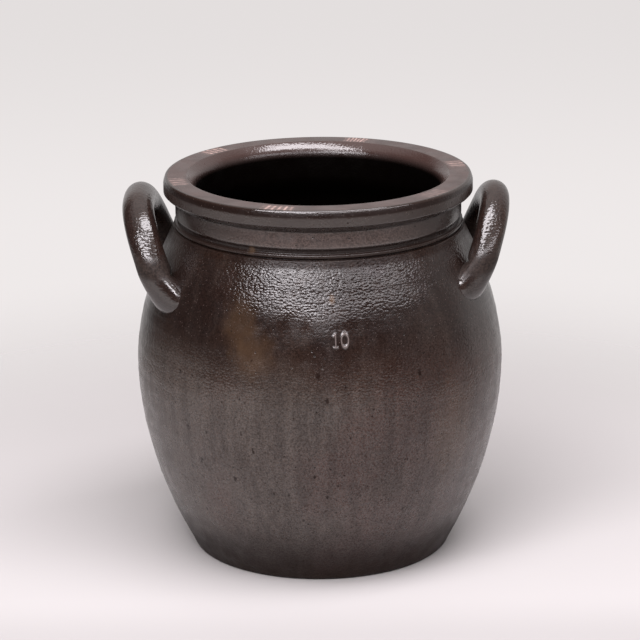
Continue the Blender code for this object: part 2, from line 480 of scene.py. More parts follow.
@dataclass(frozen=True)
class HandleGlaze(SaltGlaze):
    """The glaze of the handles, which is dull and worn on the legs."""

    body: Colour = (0.020, 0.0115, 0.0095)
    warm: Colour = (0.036, 0.019, 0.012)
    pale: Colour = (0.048, 0.036, 0.031)
    dull_top: Step = Step(0.240, 0.230)
    dull_end: Step = Step(-0.005, 0.004)
    dulling: float = 0.38
    dull_gloss: float = 0.22
    dull_share: float = 0.8
    patchy: Noise = Noise(0.009)
    speckle: Mottle = Mottle(Noise(0.0017, 3.0, 0.75), Step(0.34, 0.66, 0.42, 1.62))

    def material(self) -> Material:
        """Make the glaze.

        Returns:
            The material.
        """
        made, bench = new_material(self.name)
        point = bench.point()
        z = point.parts()[2]
        dull = z.step(self.dull_top) * z.step(self.dull_end)
        roughness = point.noise(self.patchy).ramp(0.3, 0.7, self.roughness - 0.04, self.roughness + 0.06)
        colour = (dull * self.dull_share).blend(self.tone(point), point.mottle(self.speckle).shade(self.worn))
        self.finish(colour, roughness + dull * self.dulling, self.peel(point), dull.dim(self.dull_gloss))
        return made


@dataclass(frozen=True)
class Scar:
    """One bare place on the rim, at an azimuth in degrees."""

    azimuth: float
    half_length: float
    stripe: float
    strength: float


@dataclass(frozen=True)
class StackingScars:
    """Striped bare places on the rim, where the props of the next pot in the kiln stood."""

    scars: tuple[Scar, ...] = (
        Scar(-131.1, 0.0100, 0.0052, 0.90),
        Scar(-77.0, 0.0108, 0.0062, 0.42),
        Scar(-15.8, 0.0108, 0.0044, 0.85),
        Scar(52.7, 0.0105, 0.0040, 0.34),
        Scar(102.1, 0.0085, 0.0060, 0.62),
        Scar(163.6, 0.0080, 0.0027, 1.00),
    )
    radius: float = 0.1050
    half_width: float = 0.0058
    ground: float = 0.26
    clay: Colour = (0.52, 0.365, 0.325)
    ragged: Noise = Noise(0.0022, 2.0, 0.7)
    worn: Mottle = Mottle(Noise(0.0045, 2.0, 0.6), Step(0.38, 0.60, 0.55, 1.0))

    def mask(self, places: PotPlaces) -> Value:
        """Mask the striped bare places.

        Args:
            places: Where the material is on the pot.

        Returns:
            The mask, 1 on bare clay.
        """
        ragged = places.point.noise(self.ragged) - 0.5
        worn = places.point.mottle(self.worn)
        sides = (places.radius - self.radius + ragged * 0.005).band(Band(0.0, self.half_width, 0.0030))
        total = None
        for scar in self.scars:
            along = (places.azimuth - math.radians(scar.azimuth)) * self.radius
            wave = (along * (math.tau / scar.stripe)).do("SINE") + ragged * 1.8
            ends = (along + ragged * 0.008).band(Band(0.0, scar.half_length, 0.0050))
            there = ends * sides * wave.ramp(-0.05, 0.80, self.ground, 1.0) * worn * scar.strength
            total = there if total is None else total.larger(there)
        return total


@dataclass(frozen=True)
class PotState(PotPlaces):
    """Where a material is on the pot, with the masks that its colour, gloss and relief share.

    Level is the height, swayed by runs and patches. Depth masks the inside below the lip, whose colour is
    painted dark there as shade.
    """

    rim_top: Value
    inside: Value
    under: Value
    outer: Value
    crest: Value
    depth: Value
    runs: Value
    patches: Value
    level: Value
    shadow: Value
    smeared: Value
    bare: Value
    edge: Value
    pits: Value
    blots: list[Value]


@dataclass(frozen=True)
class PotGlaze(SaltGlaze):
    """The glaze of the pot itself: wet on the shoulder, satin on the neck and dusty on the wall below."""

    rim: Colour = (0.052, 0.030, 0.026)
    neck: Colour = (0.024, 0.014, 0.011)
    # Painted sheen: a paler colour on the front of the neck, where it mirrors the lit floor.
    neck_painted_sheen: Colour = (0.084, 0.060, 0.053)
    # Painted shade: the near-black colour deep inside the pot.
    inner: Colour = (0.0014, 0.0008, 0.0006)
    foot: Colour = (0.010, 0.005, 0.004)
    haze: Colour = (0.060, 0.043, 0.035)
    brown_haze: Colour = (0.046, 0.021, 0.015)
    ochre: Colour = (0.106, 0.060, 0.031)
    # Painted glints: pale specks that stand in for the lamps' sparkle on the peel of the upper wall.
    salt: Colour = (0.125, 0.095, 0.085)
    pit: Colour = (0.010, 0.007, 0.006)
    bare: Colour = (0.30, 0.235, 0.185)
    # Painted highlight: a pale colour on the crests of the raised number, where they catch the lamps.
    crest: Colour = (0.20, 0.165, 0.155)
    crest_highlight_share: float = 0.68
    scars: StackingScars = StackingScars()
    ochre_patches: tuple[Patch, ...] = (
        Patch(-27.0, 0.2015, 0.0165, 0.022, 0.009, share=0.27),
        Patch(-21.5, 0.1825, 0.0185, 0.021, 0.009, share=0.29),
        Patch(4.3, 0.2215, 0.0026, 0.0042, 0.002, share=0.7),
        Patch(-27.0, 0.2515, 0.004, 0.003, 0.003, share=0.5),
        Patch(46.0, 0.112, 0.026, 0.048, share=0.22),
    )
    smears: tuple[Patch, Patch] = (Patch(-77.0, 0.234, 0.048, 0.027), Patch(84.0, 0.233, 0.040, 0.026))
    pressed: Patch = Patch(6.5, 0.1939, 0.014, 0.009)
    hollows: tuple[Band, ...] = (
        Band(0.2525, 0.0021, 0.0012),
        Band(0.2686, 0.0024, 0.0014),
        Band(0.2808, 0.0018, 0.0014),
    )
    neck_start: Step = Step(0.2465, 0.2505, 0.0, 0.8)
    # Band and turn of the painted sheen on the front of the neck.
    neck_sheen_band: Band = Band(0.2608, 0.0060, 0.002)
    neck_sheen_turn: float = 0.05
    neck_sheen_fade: Step = Step(1.0, 0.35)
    matt_band: Band = Band(0.2455, 0.0042, 0.005)
    run_noise: Noise = Noise(0.009, 3.0, 0.6)
    run_stretch: float = 0.14
    patch_noise: Noise = Noise(0.06)
    streak_noise: Noise = Noise(0.0045, 3.0, 0.6)
    streaks: Step = Step(0.38, 0.62, 0.48, 1.0)
    speckle: Mottle = Mottle(Noise(0.0012, 3.0, 0.8), Step(0.38, 0.62, 0.55, 1.45))
    dust: Mottle = Mottle(Noise(0.0013, 3.0, 0.9), Step(0.38, 0.58, 0.30, 1.14))
    blotches: Step = Step(0.40, 0.60, 0.86, 1.10)
    rim_tone: Mottle = Mottle(Noise(0.014, 3.0), Step(0.3, 0.7, 0.82, 1.2))
    patchy: Noise = Noise(0.012)
    haze_fade: Step = Step(0.196, 0.150)
    haze_turn: Step = Step(-1.2, 1.3, 1.0, 0.75)
    brown_turn: Step = Step(1.0, 2.1)
    dust_fade: Step = Step(0.205, 0.178)
    foot_fade: Step = Step(0.054, 0.016, 0.0, 0.75)
    # Where the painted shade inside the pot sets in below the lip.
    inner_shade_fade: Step = Step(0.2805, 0.2725)
    edge_fade: Step = Step(0.2820, 0.2832)
    pit_specks: Specks = Specks(0.0066, 0.0008, 0.6)
    pit_depth: float = 0.00012
    # Spacing, size and share of the painted glints.
    glint_specks: Specks = Specks(0.0022, 0.00042, 0.5)
    glint_fade: Step = Step(0.15, 0.19, 0.0, 0.5)
    blot_specks: tuple[Specks, ...] = (Specks(0.017, 0.0020, 0.50), Specks(0.0085, 0.0011, 0.60))
    blot_shift: Noise = Noise(1.0 / 600.0)
    blot_fade: Step = Step(0.20, 0.17, 0.0, 0.75)
    low_dulling: Step = Step(0.13, 0.18, 0.08, 0.0)
    foot_dulling: Step = Step(0.045, 0.010, 0.0, 0.30)
    neck_dulling: Step = Step(0.238, 0.247, 0.0, 0.10)
    foot_dryness: Step = Step(0.060, 0.004, 1.0, 0.12)
    wall_peel: Step = Step(0.112, 0.150, 0.30, 0.62)
    shoulder_peel: Step = Step(0.200, 0.227)
    neck_peel: Step = Step(0.240, 0.248, 1.0, 0.30)
    smooth_band: Band = Band(0.196, 0.015, 0.018)

    def material(self) -> Material:
        """Make the pot's glaze.

        Returns:
            The material.
        """
        made, bench = new_material(self.name)
        here = self.state(bench)
        self.finish(self.colour(here), self.dulling(here), self.relief(here), self.gloss(here))
        return made

    def state(self, bench: NodeBench) -> PotState:
        """Add the masks and levels that more than one side of the finish needs.

        Args:
            bench: The node tree to add to.

        Returns:
            The place on the pot with the masks.
        """
        places = PotPlaces.on(bench)
        point, height = places.point, places.height
        zone = bench.layer("zone")
        rim_top, outer = (zone.band(Band(which.value, 0.5, 0.5)) for which in (Zone.RIM_TOP, Zone.OUTSIDE))
        runs = point.stretched(self.run_stretch).noise(self.run_noise)
        patches = point.noise(self.patch_noise)
        hollows = [height.band(hollow) for hollow in self.hollows]
        smears = [smear.mask(places) for smear in self.smears]
        return PotState(
            **vars(places),
            rim_top=rim_top,
            inside=zone.ramp(2.4, 2.9),
            under=zone.ramp(0.6, 0.1),
            outer=outer,
            crest=bench.layer("crest").ramp(0.35, 0.95),
            depth=height.step(self.inner_shade_fade),
            runs=runs,
            patches=patches,
            level=height + (patches * 0.045 + runs * 0.020 - 0.0325),
            shadow=hollows[0].larger(hollows[1]).larger(hollows[2]),
            smeared=smears[0].larger(smears[1]),
            bare=self.scars.mask(places) * rim_top,
            edge=height.step(self.edge_fade) * outer,
            pits=point.specks(self.pit_specks),
            blots=[self.blots(places, specks) for specks in self.blot_specks],
        )

    def blots(self, places: PotPlaces, specks: Specks) -> Value:
        """Mask dark blots of uneven outline on the lower wall.

        Args:
            places: Where the material is on the pot.
            specks: Spacing, size and share of the blots.

        Returns:
            The mask, 0.75 inside a blot.
        """
        shift = places.point.noise(self.blot_shift, "Color").scaled(specks.radius * 1.6)
        bent = places.point.stretched(0.6).shifted(shift)
        return bent.specks(specks) * places.height.step(self.blot_fade)

    def colour(self, here: PotState) -> Value:
        """Lay the colours over each other.

        Args:
            here: The place on the pot with its masks.

        Returns:
            The colour.
        """
        point, height = here.point, here.height
        speckle = point.mottle(self.speckle)
        front = abs(here.azimuth - self.neck_sheen_turn).step(self.neck_sheen_fade)
        streaks = here.runs * 0.55 + here.patches * 0.25 + point.noise(self.streak_noise) * 0.2
        haze = here.level.step(self.haze_fade) * streaks.step(self.streaks)
        haze = haze * here.azimuth.step(self.haze_turn)
        brown = (here.azimuth + here.patches * 3.0).step(self.brown_turn)
        haze_colour = brown.blend(self.haze, self.brown_haze)
        # Painted glints of the lamps, as pale specks on the upper wall.
        glints = point.specks(self.glint_specks) * here.level.step(self.glint_fade)
        layers = [
            (height.step(self.neck_start), self.neck),
            # Painted sheen on the front of the neck, with a fine speckle.
            (height.band(self.neck_sheen_band) * front * 0.8, speckle.shade(self.neck_painted_sheen)),
            (here.shadow * 0.8, self.foot),
            (haze, speckle.shade(haze_colour)),
            (height.step(self.foot_fade), self.foot),
            (here.smeared * 0.6, self.worn),
            *((patch.mask(here) * patch.share, self.ochre) for patch in self.ochre_patches),
            *((blots, self.foot) for blots in here.blots),
            (glints, self.salt),
            (here.pits * 0.8, self.pit),
            (here.rim_top, point.mottle(self.rim_tone).shade(self.rim)),
            (here.bare * 0.9, self.scars.clay),
            # Painted shade: inside, the rim's colour darkens to near black below the lip.
            (here.inside, here.depth.blend(self.rim, self.inner)),
            (here.under, self.bare),
            # Painted highlight on the crests of the raised number.
            (here.crest * self.crest_highlight_share, self.crest),
        ]
        colour = self.tone(point)
        for share, layer in layers:
            colour = share.blend(colour, layer)
        return colour

    def dulling(self, here: PotState) -> Value:
        """Add up the roughness.

        Args:
            here: The place on the pot with its masks.

        Returns:
            The roughness.
        """
        total = here.point.noise(self.patchy).ramp(0.3, 0.7, self.roughness - 0.05, self.roughness + 0.07)
        changes = (
            here.level.step(self.low_dulling),
            here.height.step(self.foot_dulling),
            here.height.step(self.neck_dulling) * here.outer,
            here.smeared * 0.20,
            here.edge * -0.26,
            here.rim_top * 0.14,
            here.inside * -0.05,
            here.inside * here.depth * 0.17,
            here.bare * 0.3,
            here.under * 0.4,
        )
        for change in changes:
            total = total + change
        return total

    def gloss(self, here: PotState) -> Value:
        """Dim the gloss where the glaze is dry, dusty, spotted, matt or bare.

        Args:
            here: The place on the pot with its masks.

        Returns:
            The share of the gloss that is left.
        """
        blotches = (here.runs * 0.5 + here.patches * 0.5).step(self.blotches)
        dusty = here.level.step(self.dust_fade).choose(1.0, here.point.mottle(self.dust) * blotches)
        spots = here.blots[0].larger(here.blots[1]).larger(here.pits * 0.9)
        left = dusty * spots.dim(0.12) * here.smeared.dim(0.5) * here.height.band(self.matt_band).dim(0.25)
        left = left * (here.shadow * here.outer).dim(0.35)
        left = left * (here.inside * here.depth).dim(0.10) * here.bare.dim(0.4)
        return here.height.step(self.foot_dryness) * left

    def relief(self, here: PotState) -> Value:
        """Calm the orange-peel skin away from the shoulder, and sink the pits.

        Args:
            here: The place on the pot with its masks.

        Returns:
            Height in metres.
        """
        height = here.height
        calm = height.step(self.wall_peel).larger(height.step(self.shoulder_peel))
        calm = calm * height.band(self.smooth_band).dim(0.42) * height.step(self.neck_peel)
        calm = calm * here.rim_top.dim(0.5) * self.pressed.mask(here).dim(0.2) * here.edge.dim(0.35)
        return self.peel(here.point) * calm - here.pits * self.pit_depth


@dataclass(frozen=True)
class StudioFloor:
    """The pale seamless floor that the crock stands on."""

    colour: Colour = (0.573, 0.554, 0.547)
    roughness: float = 0.6
    mottle: Mottle = Mottle(Noise(0.35), Step(0.3, 0.7, 0.99, 1.01))
    # Painted shade: the floor's colour darkens towards the front.
    front_painted_shade: Step = Step(-0.125, -0.215, 1.0, 0.85)
    fade: Step = Step(0.24, 0.75)

    def material(self) -> Material:
        """Make the floor's material.

        Returns:
            The material.
        """
        made, bench = new_material("studio_floor")
        point = bench.point()
        # The floor's colour is painted darker towards the front, as shade.
        level = point.mottle(self.mottle) * point.parts()[1].step(self.front_painted_shade)
        inputs = {
            "Specular IOR Level": 0.2,
            "Roughness": self.roughness,
            "Base Color": level.shade(self.colour),
        }
        shader = bench.filled("BsdfPrincipled", "BSDF", inputs)
        away = bench.filled("VectorMath", "Value", {"Vector": point}, operation="LENGTH")
        mix = bench.out("MixShader", away.step(self.fade), shader, bench.out("BsdfTransparent"))
        bench.node("OutputMaterial", mix)
        return made


# Meshes


def add_mesh(name: str, points: np.ndarray, faces: np.ndarray, material: Material) -> Object:
    """Put a smooth-shaded mesh into the scene.

    Args:
        name: Name of the object.
        points: Array of points.
        faces: Array of the point numbers of four-sided faces.
        material: Its material.

    Returns:
        The new object.
    """
    mesh = bpy.data.meshes.new(name)
    mesh.from_pydata(points.reshape(-1, 3).tolist(), [], faces.reshape(-1, 4).tolist())
    mesh.validate()
    mesh.shade_smooth()
    mesh.materials.append(material)
    obj = bpy.data.objects.new(name, mesh)
    bpy.context.scene.collection.objects.link(obj)
    return obj


def grid_faces(rows: int, around: int) -> np.ndarray:
    """Number the four-sided faces of a turned mesh.

    Args:
        rows: Number of its rows of points.
        around: Number of points in a row, which closes on itself.

    Returns:
        Point numbers, by row, face and corner.
    """
    number = np.arange(rows * around).reshape(rows, around)
    low, high = number[:-1], number[1:]
    return np.stack([low, np.roll(low, -1, 1), np.roll(high, -1, 1), high], axis=-1)


def tie_to_frame(obj: Object, slot: str, *nodes: str) -> None:
    """Let a piece ride on the crock and stand for its solids.

    Args:
        obj: The piece.
        slot: Not used.
        *nodes: Solids that the piece replaces.
    """
    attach(obj, "root")
    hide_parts(*nodes)


def step_between(points: list[Pair], spacing: float) -> list[Pair]:
    """Add points along a line so that no two are further apart than a spacing.

    Args:
        points: Corners of the line.
        spacing: Largest step.

    Returns:
        The line with its added points.
    """
    filled = [points[0]]
    for (r0, z0), (r1, z1) in zip(points, points[1:]):
        count = max(1, math.ceil(math.hypot(r1 - r0, z1 - z0) / spacing))
        filled += [(r0 + (r1 - r0) * k / count, z0 + (z1 - z0) * k / count) for k in range(1, count + 1)]
    return filled


def round_corner(start: Pair, corner: Pair, end: Pair, count: int) -> list[Pair]:
    """Round a corner off.

    Args:
        start: Where the round starts.
        corner: The corner that it cuts off.
        end: Where the round ends.
        count: Number of steps.

    Returns:
        Points from start to end, both included.
    """
    points = []
    for k in range(count + 1):
        t = k / count
        a, b, c = (1.0 - t) ** 2, 2.0 * t * (1.0 - t), t**2
        points.append((a * start[0] + b * corner[0] + c * end[0], a * start[1] + b * corner[1] + c * end[1]))
    return points


def eased(start: float, end: float, share: float) -> float:
    """Step smoothly from start to end as share runs from 0 to 1."""
    return start + (end - start) * (1.0 - math.cos(math.pi * share)) / 2.0


def smooth(share: np.ndarray | float) -> np.ndarray | float:
    """Ease a share that runs from 0 to 1 in and out."""
    return share * share * (3.0 - 2.0 * share)


def soft_step(value: np.ndarray, low: float, high: float) -> np.ndarray:
    """Step smoothly from 0 at low to 1 at high."""
    return smooth(np.clip((value - low) / (high - low), 0.0, 1.0))


# The pot


@dataclass(frozen=True)
class PotProfile:
    """Sizes of the pot and the curves that they give."""

    height: float
    belly_radius: float
    foot_radius: float = 0.0957
    foot_round: float = 0.0020
    belly_height: float = 0.1469
    lower_power: float = 2.0
    shoulder_power: float = 1.7
    rim_radius: float = 0.1142
    rim_under_inset: float = 0.0006
    rim_top_inset: float = 0.0015
    rim_edge_round: float = 0.0011
    rim_lean_depth: float = 0.0056
    rim_band: float = 0.0120
    rim_crease: float = 0.0007
    rim_overhang: float = 0.0056
    rim_width: float = 0.0241
    neck_depth: float = 0.0374
    neck_inset: float = 0.0084
    shoulder_step: float = 0.0019
    ridge_depth: float = 0.0350
    ridge_proud: float = 0.0008
    ridge_width: float = 0.0021
    groove_depth: float = 0.0305
    groove_cut: float = 0.0016
    groove_width: float = 0.0040
    wall: float = 0.0100
    floor: float = 0.0120
    floor_round: float = 0.0160
    lip_length: float = 0.0140
    lip_turn_share: float = 0.36
    lip_start_slope: float = 38.0
    lip_swing: float = 10.0
    inner_neck_depth: float = 0.0250
    inner_shoulder_depth: float = 0.0480
    base_recess: float = 0.0008
    base_recess_radius: float = 0.0800
    base_recess_slope: float = 0.0030
    lip_steps: int = 24

    @property
    def shoulder_height(self) -> float:
        """Height at which the shoulder meets the neck."""
        return self.height - self.neck_depth

    @property
    def neck_radius(self) -> float:
        """Outer radius of the neck."""
        return self.rim_radius - self.neck_inset

    @property
    def mouth_radius(self) -> float:
        """Radius of the opening inside the rim."""
        return self.rim_radius - self.rim_width

    def wall_radius(self, z: float) -> float:
        """Outer radius of the wall between the foot and the top of the shoulder.

        Args:
            z: Height.

        Returns:
            Radius at that height.
        """
        if z < self.belly_height:
            swell = self.belly_radius - self.foot_radius
            return self.belly_radius - swell * (1.0 - z / self.belly_height) ** self.lower_power
        swell = self.belly_radius - self.neck_radius - self.shoulder_step
        rise = (z - self.belly_height) / (self.shoulder_height - self.belly_height)
        return self.belly_radius - swell * rise**self.shoulder_power

    def wall_normal(self, z: float) -> Pair:
        """Outward direction of the wall.

        Args:
            z: Height.

        Returns:
            The direction's radial and vertical parts.
        """
        step = self.height * 0.004
        slope = (self.wall_radius(z + step) - self.wall_radius(z - step)) / (step + step)
        length = math.hypot(1.0, slope)
        return 1.0 / length, -slope / length

    def inner_point(self, z: float) -> Pair:
        """Point inside the wall, square across it from height z outside."""
        radial, vertical = self.wall_normal(z)
        return self.wall_radius(z) - self.wall * radial, z - self.wall * vertical

    def underside(self) -> list[Pair]:
        """Line from the middle of the base out to the wall's foot, with the base hollowed a little.

        Returns:
            Points as radius and height.
        """
        edge = self.foot_radius - self.foot_round
        line = [(0.0, self.base_recess), (self.base_recess_radius, self.base_recess)]
        line += [(self.base_recess_radius + self.base_recess_slope, 0.0), (edge, 0.0)]
        return step_between(line, 0.02)

    def outside(self, spacing: float) -> list[Pair]:
        """Line from the foot up to the rim's flat top.

        Args:
            spacing: Largest step up the wall.

        Returns:
            Points as radius and height.
        """
        foot = (self.foot_radius - self.foot_round, 0.0)
        foot_end = (self.wall_radius(self.foot_round), self.foot_round)
        line = round_corner(foot, (self.wall_radius(0.0), 0.0), foot_end, 6)
        heights = np.arange(self.foot_round + spacing, self.shoulder_height, spacing)
        line += [(self.wall_radius(float(z)), float(z)) for z in heights]
        top = (self.wall_radius(self.shoulder_height), self.shoulder_height)
        return line + step_between([top] + self.neck(), 0.001) + self.rim()

    def neck(self) -> list[Pair]:
        """Line up the crease, ridge and groove, the neck's straight wall and the hollow below the rim.

        Returns:
            Points as radius and height.
        """
        radius = self.neck_radius
        ridge = self.height - self.ridge_depth
        groove = self.height - self.groove_depth
        hollow = self.height - self.rim_band - self.rim_overhang
        corner = (radius + self.ridge_proud, ridge - self.ridge_width / 2.0)
        shelf = (radius + self.ridge_proud, ridge + self.ridge_width / 2.0)
        line = [
            (corner[0] - self.groove_cut, corner[1] - self.groove_cut),
            (corner[0] - self.groove_cut, corner[1] - self.groove_cut / 2.0),
            corner,
            (corner[0] + self.groove_cut / 8.0, ridge),
            shelf,
            (radius - self.groove_cut, shelf[1] + self.groove_cut / 3.0),
            (radius - self.groove_cut, shelf[1] + self.groove_cut * 1.6),
            (radius, groove + self.groove_width / 2.0),
            (radius, hollow),
        ]
        under = (self.rim_radius - self.rim_under_inset * 2.0, self.height - self.rim_band - self.rim_crease)
        turn = (radius + self.rim_crease, hollow + self.rim_crease)
        fillet = round_corner(line[-1], (radius, hollow + self.rim_crease / 2.0), turn, 4)[1:]
        wall = step_between(line[-2:], 0.0011)[1:]
        return line[:-1] + wall + fillet + step_between([turn, under], 0.0012)[1:]

    def rim(self) -> list[Pair]:
        """Line up the rim's face, which leans back towards its top, and round its upper edge.

        Returns:
            Points as radius and height.
        """
        low = self.height - self.rim_band
        heights = np.linspace(low + self.rim_under_inset, self.height - self.rim_edge_round, 16)
        line = [(self.rim_radius - self.rim_under_inset, low)]
        line += [(self.rim_radius - self.lean_back(float(z)), float(z)) for z in heights]
        slope = (line[-1][0] - line[-2][0]) / (line[-1][1] - line[-2][1])
        corner = (line[-1][0] + slope * self.rim_edge_round, self.height)
        edge = (corner[0] - self.rim_edge_round, self.height)
        return line + round_corner(line[-1], corner, edge, 6)[1:]

    def lean_back(self, z: float) -> float:
        """Distance by which the rim's face leans back at height z."""
        share = max(0.0, 1.0 - (self.height - z) / self.rim_lean_depth)
        return self.rim_top_inset * share**1.5

    def rim_top(self) -> list[Pair]:
        """Line in across the flat top of the rim."""
        return step_between([self.rim()[-1], self.lip()[0]], 0.0012)[1:]

    def lip(self) -> list[Pair]:
        """Roll the rim's inner edge over: a long easy slope first, then a quick turn down into the mouth.

        Returns:
            Points as radius and height.
        """
        slopes = [self.slope_at(k / self.lip_steps) for k in range(self.lip_steps)]
        step = self.lip_length / self.lip_steps
        r, z = self.mouth_radius + sum(math.cos(slope) for slope in slopes) * step, self.height
        line = [(r, z)]
        for slope in slopes:
            r, z = r - math.cos(slope) * step, z - math.sin(slope) * step
            line.append((r, z))
        return line

    def slope_at(self, share: float) -> float:
        """Slope of the lip.

        Args:
            share: Share of its length.

        Returns:
            The slope in radians.
        """
        turn = min(1.0, share / self.lip_turn_share)
        drop = max(0.0, (share - self.lip_turn_share) / (1.0 - self.lip_turn_share))
        rest = 90.0 - self.lip_start_slope - self.lip_swing
        return math.radians(self.lip_start_slope + self.lip_swing * turn + rest * drop)

    def inside(self) -> list[Pair]:
        """Line from the rolled inner edge of the rim down the inside to the middle of the floor.

        Returns:
            Points as radius and height.
        """
        line = self.lip()[1:]
        neck_z = self.height - self.inner_neck_depth
        shoulder_r, shoulder_z = self.inner_point(self.height - self.inner_shoulder_depth)
        for k in range(9):
            r = eased(self.mouth_radius, shoulder_r, k / 8.0)
            line.append((r, neck_z + (shoulder_z - neck_z) * k / 8.0))
        stations = np.linspace(self.height - self.inner_shoulder_depth, self.floor_round, 26)[1:]
        line += [self.inner_point(float(z)) for z in stations]
        wall_r, wall_z = line[-1]
        radial, vertical = self.wall_normal(self.floor_round)
        corner = (wall_r + (wall_z - self.floor) * vertical / radial, self.floor)
        edge = (corner[0] - self.floor_round, self.floor)
        line += round_corner(line[-1], corner, edge, 8)[1:]
        return step_between(line, 0.012) + step_between([edge, (0.0, self.floor)], 0.02)[1:]


@dataclass(frozen=True)
class CapacityMark:
    """A plain number that a stamp left standing on the wall."""

    azimuth: float = 6.5
    height: float = 0.1939
    digit_height: float = 0.0096
    digit_width: float = 0.0050
    gap: float = 0.0016
    flag_width: float = 0.0015
    flag_drop: float = 0.0018
    bar_half: float = 0.0014
    stroke: float = 0.0011
    rise: float = 0.00050
    reach: float = 0.1285

    def crest(self, across: np.ndarray, up: np.ndarray) -> np.ndarray:
        """How much of the number's full height stands at each place.

        Args:
            across: Distance round the pot from the mark's middle.
            up: Distance up the wall from the mark's middle.

        Returns:
            1 along the middle of each stroke and 0 away from it.
        """
        half = self.digit_height / 2.0
        aside = (self.digit_width + self.gap) / 2.0
        strokes = (
            ((0.0, -half), (0.0, half)),
            ((0.0, half), (-self.flag_width, half - self.flag_drop)),
            ((-self.bar_half, -half), (self.bar_half, -half)),
        )
        away = [self.away_from(across + aside, up, *stroke) for stroke in strokes]
        ring = np.hypot((across - aside) / (self.digit_width / 2.0), up / half)
        away.append(np.abs(ring - 1.0) * self.digit_width / 2.0)
        return np.exp(-((np.minimum.reduce(away) / (self.stroke / 2.0)) ** 2) * math.log(2.0))

    def away_from(self, x: np.ndarray, y: np.ndarray, start: Pair, end: Pair) -> np.ndarray:
        """Distance from one straight stroke.

        Args:
            x: Places across.
            y: Places up.
            start: Where the stroke starts.
            end: Where it ends.

        Returns:
            The distance at each place.
        """
        dx, dy = end[0] - start[0], end[1] - start[1]
        along = np.clip(((x - start[0]) * dx + (y - start[1]) * dy) / (dx * dx + dy * dy), 0.0, 1.0)
        return np.hypot(x - start[0] - along * dx, y - start[1] - along * dy)


@dataclass(frozen=True)
class ThrowingRing:
    """A run of soft rings that the potter's fingers left while the pot was thrown."""

    wavelength: float
    share: float


@dataclass(frozen=True)
class TurningLine:
    """A fine groove that a tool left round the pot; its phase turns its drift and its strength."""

    height: float
    depth: float
    width: float
    phase: float


